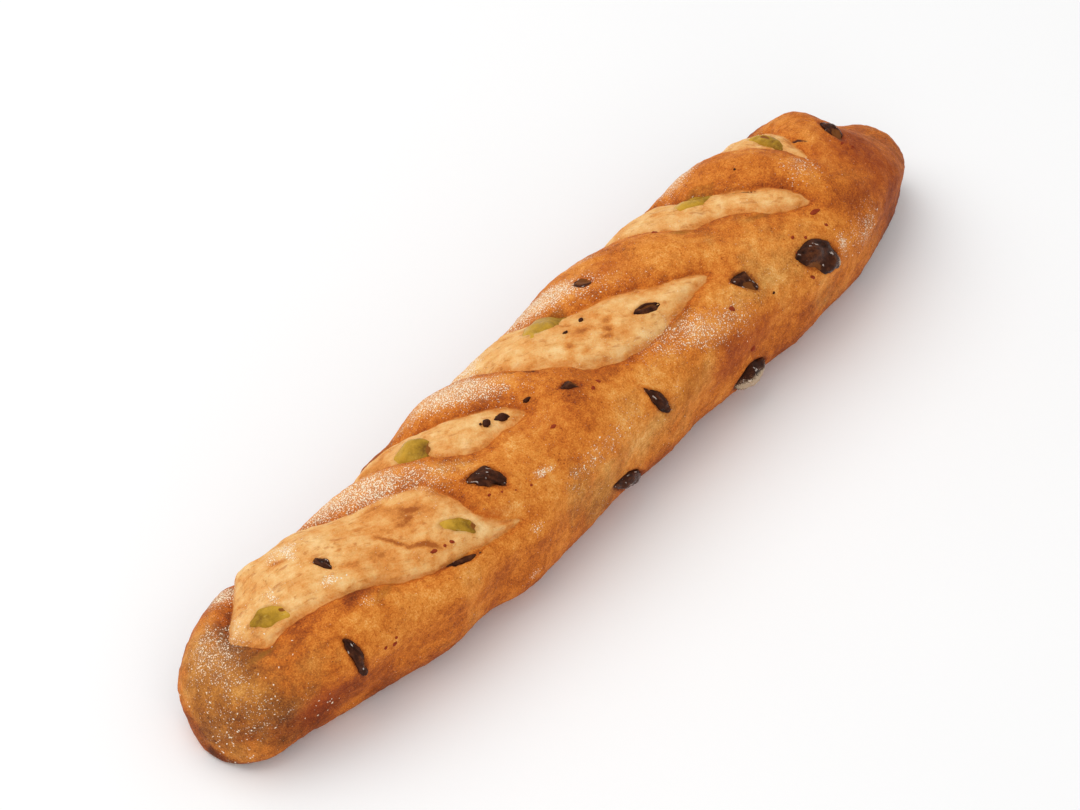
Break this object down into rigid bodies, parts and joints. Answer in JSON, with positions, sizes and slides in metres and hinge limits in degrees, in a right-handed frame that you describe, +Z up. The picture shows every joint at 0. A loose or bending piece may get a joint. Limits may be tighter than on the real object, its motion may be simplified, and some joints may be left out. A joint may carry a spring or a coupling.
{
  "type": "olive sourdough loaf",
  "caption": "Long hand-shaped sourdough loaf with slanting slashes torn open to bare crumb, and black and green olive pieces baked into a floured golden crust.",
  "frame": {"origin": "middle of the loaf's footprint, on its flat underside, where it rests on a board or table", "axes": "+X along the loaf towards its more pointed end, +Y across it towards its back, +Z up"},
  "size_m": [0.4, 0.0819, 0.0578],
  "materials": {
    "crust": "matte",
    "black_olive": "satin",
    "green_olive": "satin"
  },
  "bodies": {
    "root": {"loaf": "crust", "black_olive_1": "black_olive", "black_olive_2": "black_olive", "black_olive_3": "black_olive", "black_olive_4": "black_olive", "black_olive_5": "black_olive", "black_olive_6": "black_olive", "black_olive_7": "black_olive", "black_olive_8": "black_olive", "black_olive_9": "black_olive", "black_olive_10": "black_olive", "black_olive_11": "black_olive", "black_olive_12": "black_olive", "black_olive_13": "black_olive", "black_olive_14": "black_olive", "black_olive_15": "black_olive", "black_olive_16": "black_olive", "black_olive_17": "black_olive", "black_olive_18": "black_olive", "green_olive_1": "green_olive", "green_olive_2": "green_olive", "green_olive_3": "green_olive", "green_olive_4": "green_olive", "green_olive_5": "green_olive", "green_olive_6": "green_olive", "green_olive_7": "green_olive", "green_olive_8": "green_olive"}
  },
  "joints": []
}
